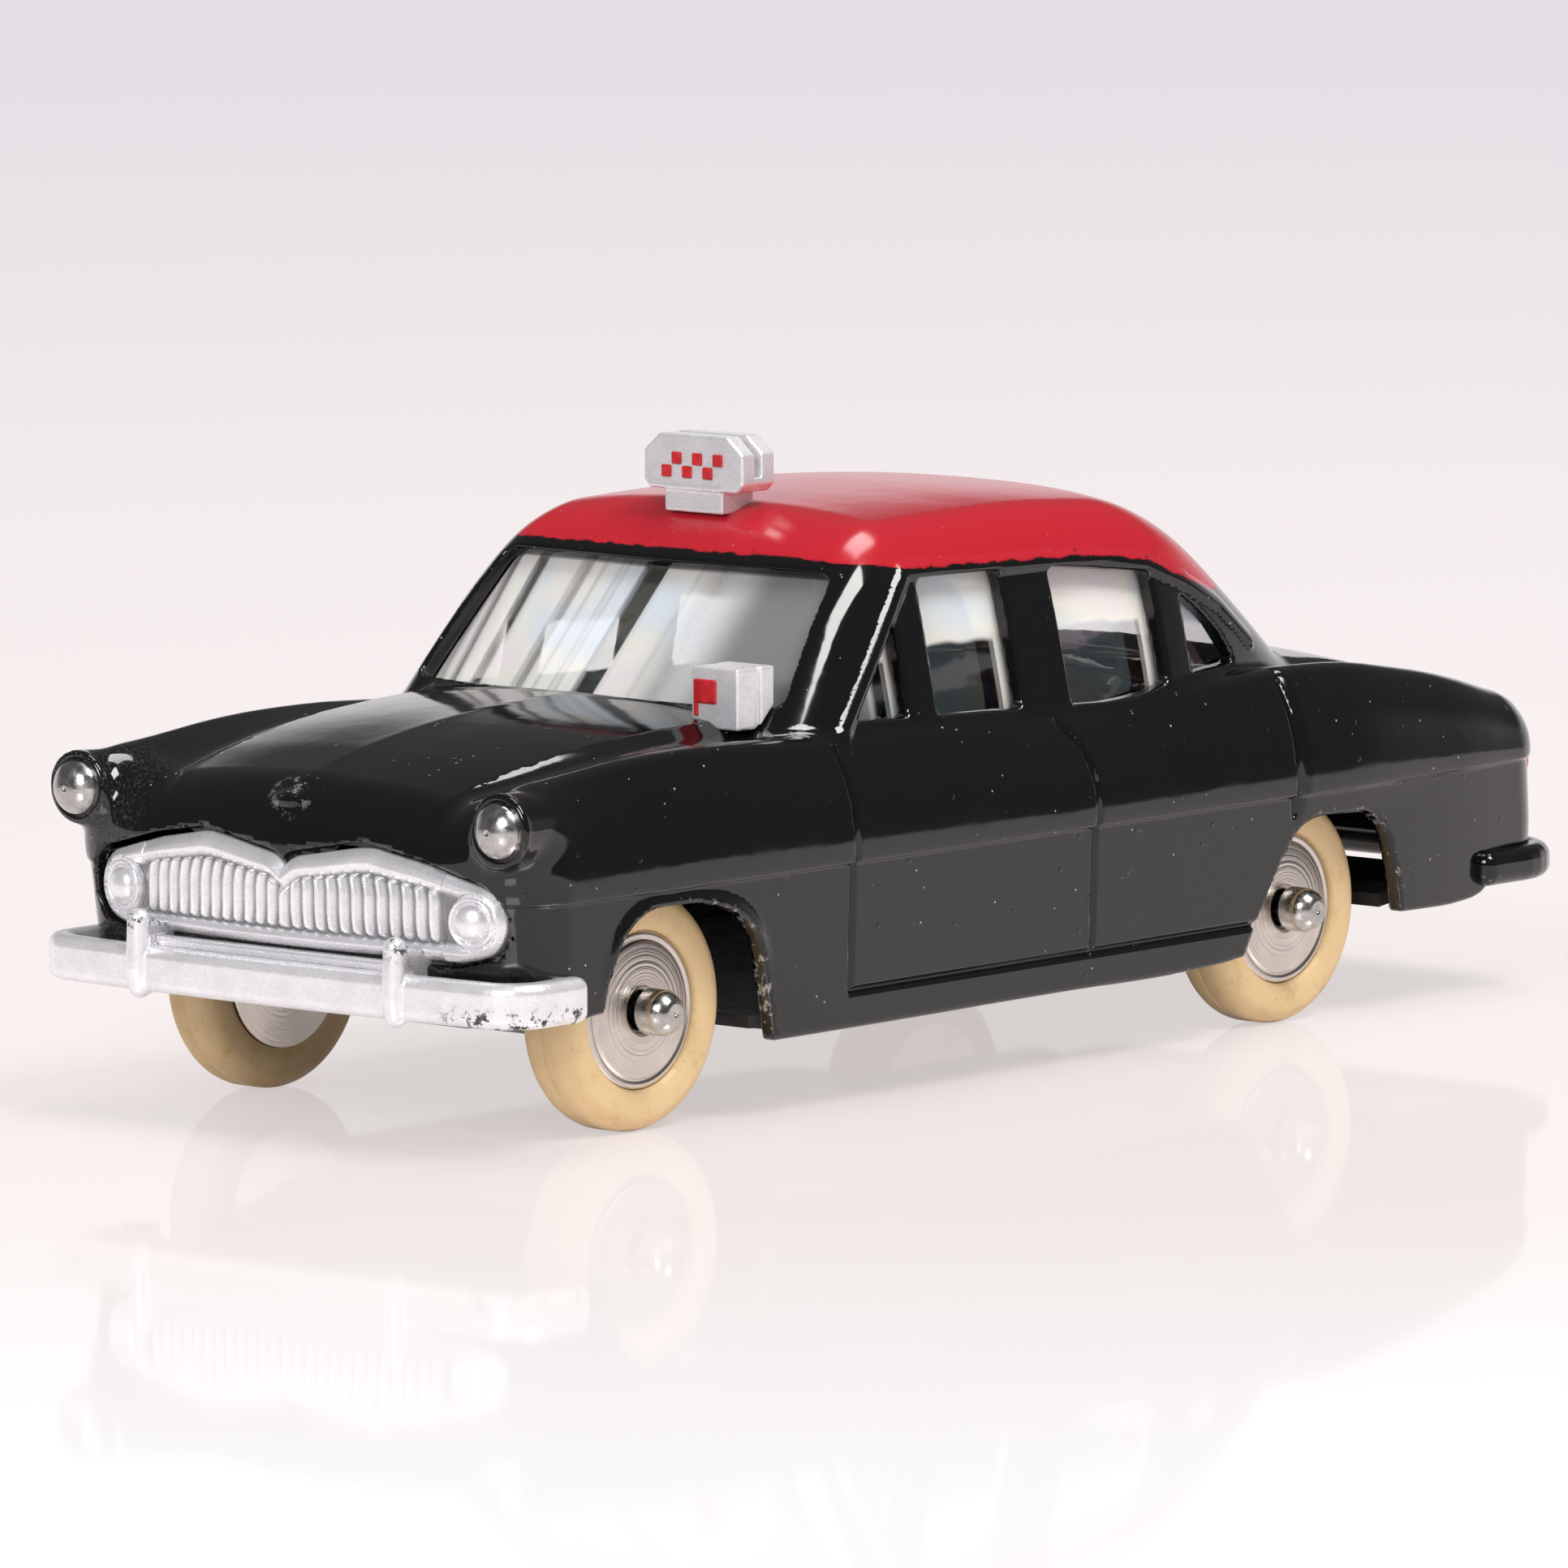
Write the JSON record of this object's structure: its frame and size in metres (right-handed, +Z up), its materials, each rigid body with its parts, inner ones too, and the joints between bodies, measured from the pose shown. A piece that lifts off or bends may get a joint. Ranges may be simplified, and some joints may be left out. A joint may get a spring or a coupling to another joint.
{
  "type": "toy taxi",
  "caption": "Die-cast toy saloon taxi with a hollow black body, clear window moulding, riveted baseplate, free-rolling wheels on wire axles, roof sign and fare meter.",
  "frame": {"origin": "middle of the car's length and width, on the floor under the tyres", "axes": "+Y towards the tail, so the front faces -Y; +X towards the car's left side; +Z up"},
  "size_m": [0.0406, 0.1074, 0.0399],
  "materials": {
    "body_paint": "gloss",
    "clear_plastic": "gloss",
    "plate_paint": "satin",
    "axle_steel": "satin",
    "hub_metal": "turned",
    "tyre_rubber": "matte",
    "sign_paint": "metallic",
    "meter_paint": "metallic"
  },
  "bodies": {
    "taxi_body": {"body_casting": "body_paint", "window_glazing": "clear_plastic", "baseplate": "plate_paint", "roof_sign": "sign_paint", "fare_meter": "meter_paint"},
    "axle_front": {"front_axle": "axle_steel"},
    "axle_rear": {"rear_axle": "axle_steel"},
    "wheel_front_left": {"hub_front_left": "hub_metal", "tyre_front_left": "tyre_rubber"},
    "wheel_front_right": {"hub_front_right": "hub_metal", "tyre_front_right": "tyre_rubber"},
    "wheel_rear_left": {"hub_rear_left": "hub_metal", "tyre_rear_left": "tyre_rubber"},
    "wheel_rear_right": {"hub_rear_right": "hub_metal", "tyre_rear_right": "tyre_rubber"}
  },
  "joints": [
    {"name": "front_axle_turn", "type": "hinge", "parent": "taxi_body", "child": "axle_front", "pos_m": [0, -0.037, 0.0075], "axis": [1, 0, 0], "continuous": true},
    {"name": "rear_axle_turn", "type": "hinge", "parent": "taxi_body", "child": "axle_rear", "pos_m": [0, 0.0256, 0.0075], "axis": [1, 0, 0], "continuous": true},
    {"name": "front_left_roll", "type": "hinge", "parent": "axle_front", "child": "wheel_front_left", "pos_m": [0.0148, -0.037, 0.0075], "axis": [1, 0, 0], "continuous": true},
    {"name": "front_right_roll", "type": "hinge", "parent": "axle_front", "child": "wheel_front_right", "pos_m": [-0.0148, -0.037, 0.0075], "axis": [1, 0, 0], "continuous": true},
    {"name": "rear_left_roll", "type": "hinge", "parent": "axle_rear", "child": "wheel_rear_left", "pos_m": [0.0148, 0.0256, 0.0075], "axis": [1, 0, 0], "continuous": true},
    {"name": "rear_right_roll", "type": "hinge", "parent": "axle_rear", "child": "wheel_rear_right", "pos_m": [-0.0148, 0.0256, 0.0075], "axis": [1, 0, 0], "continuous": true}
  ]
}
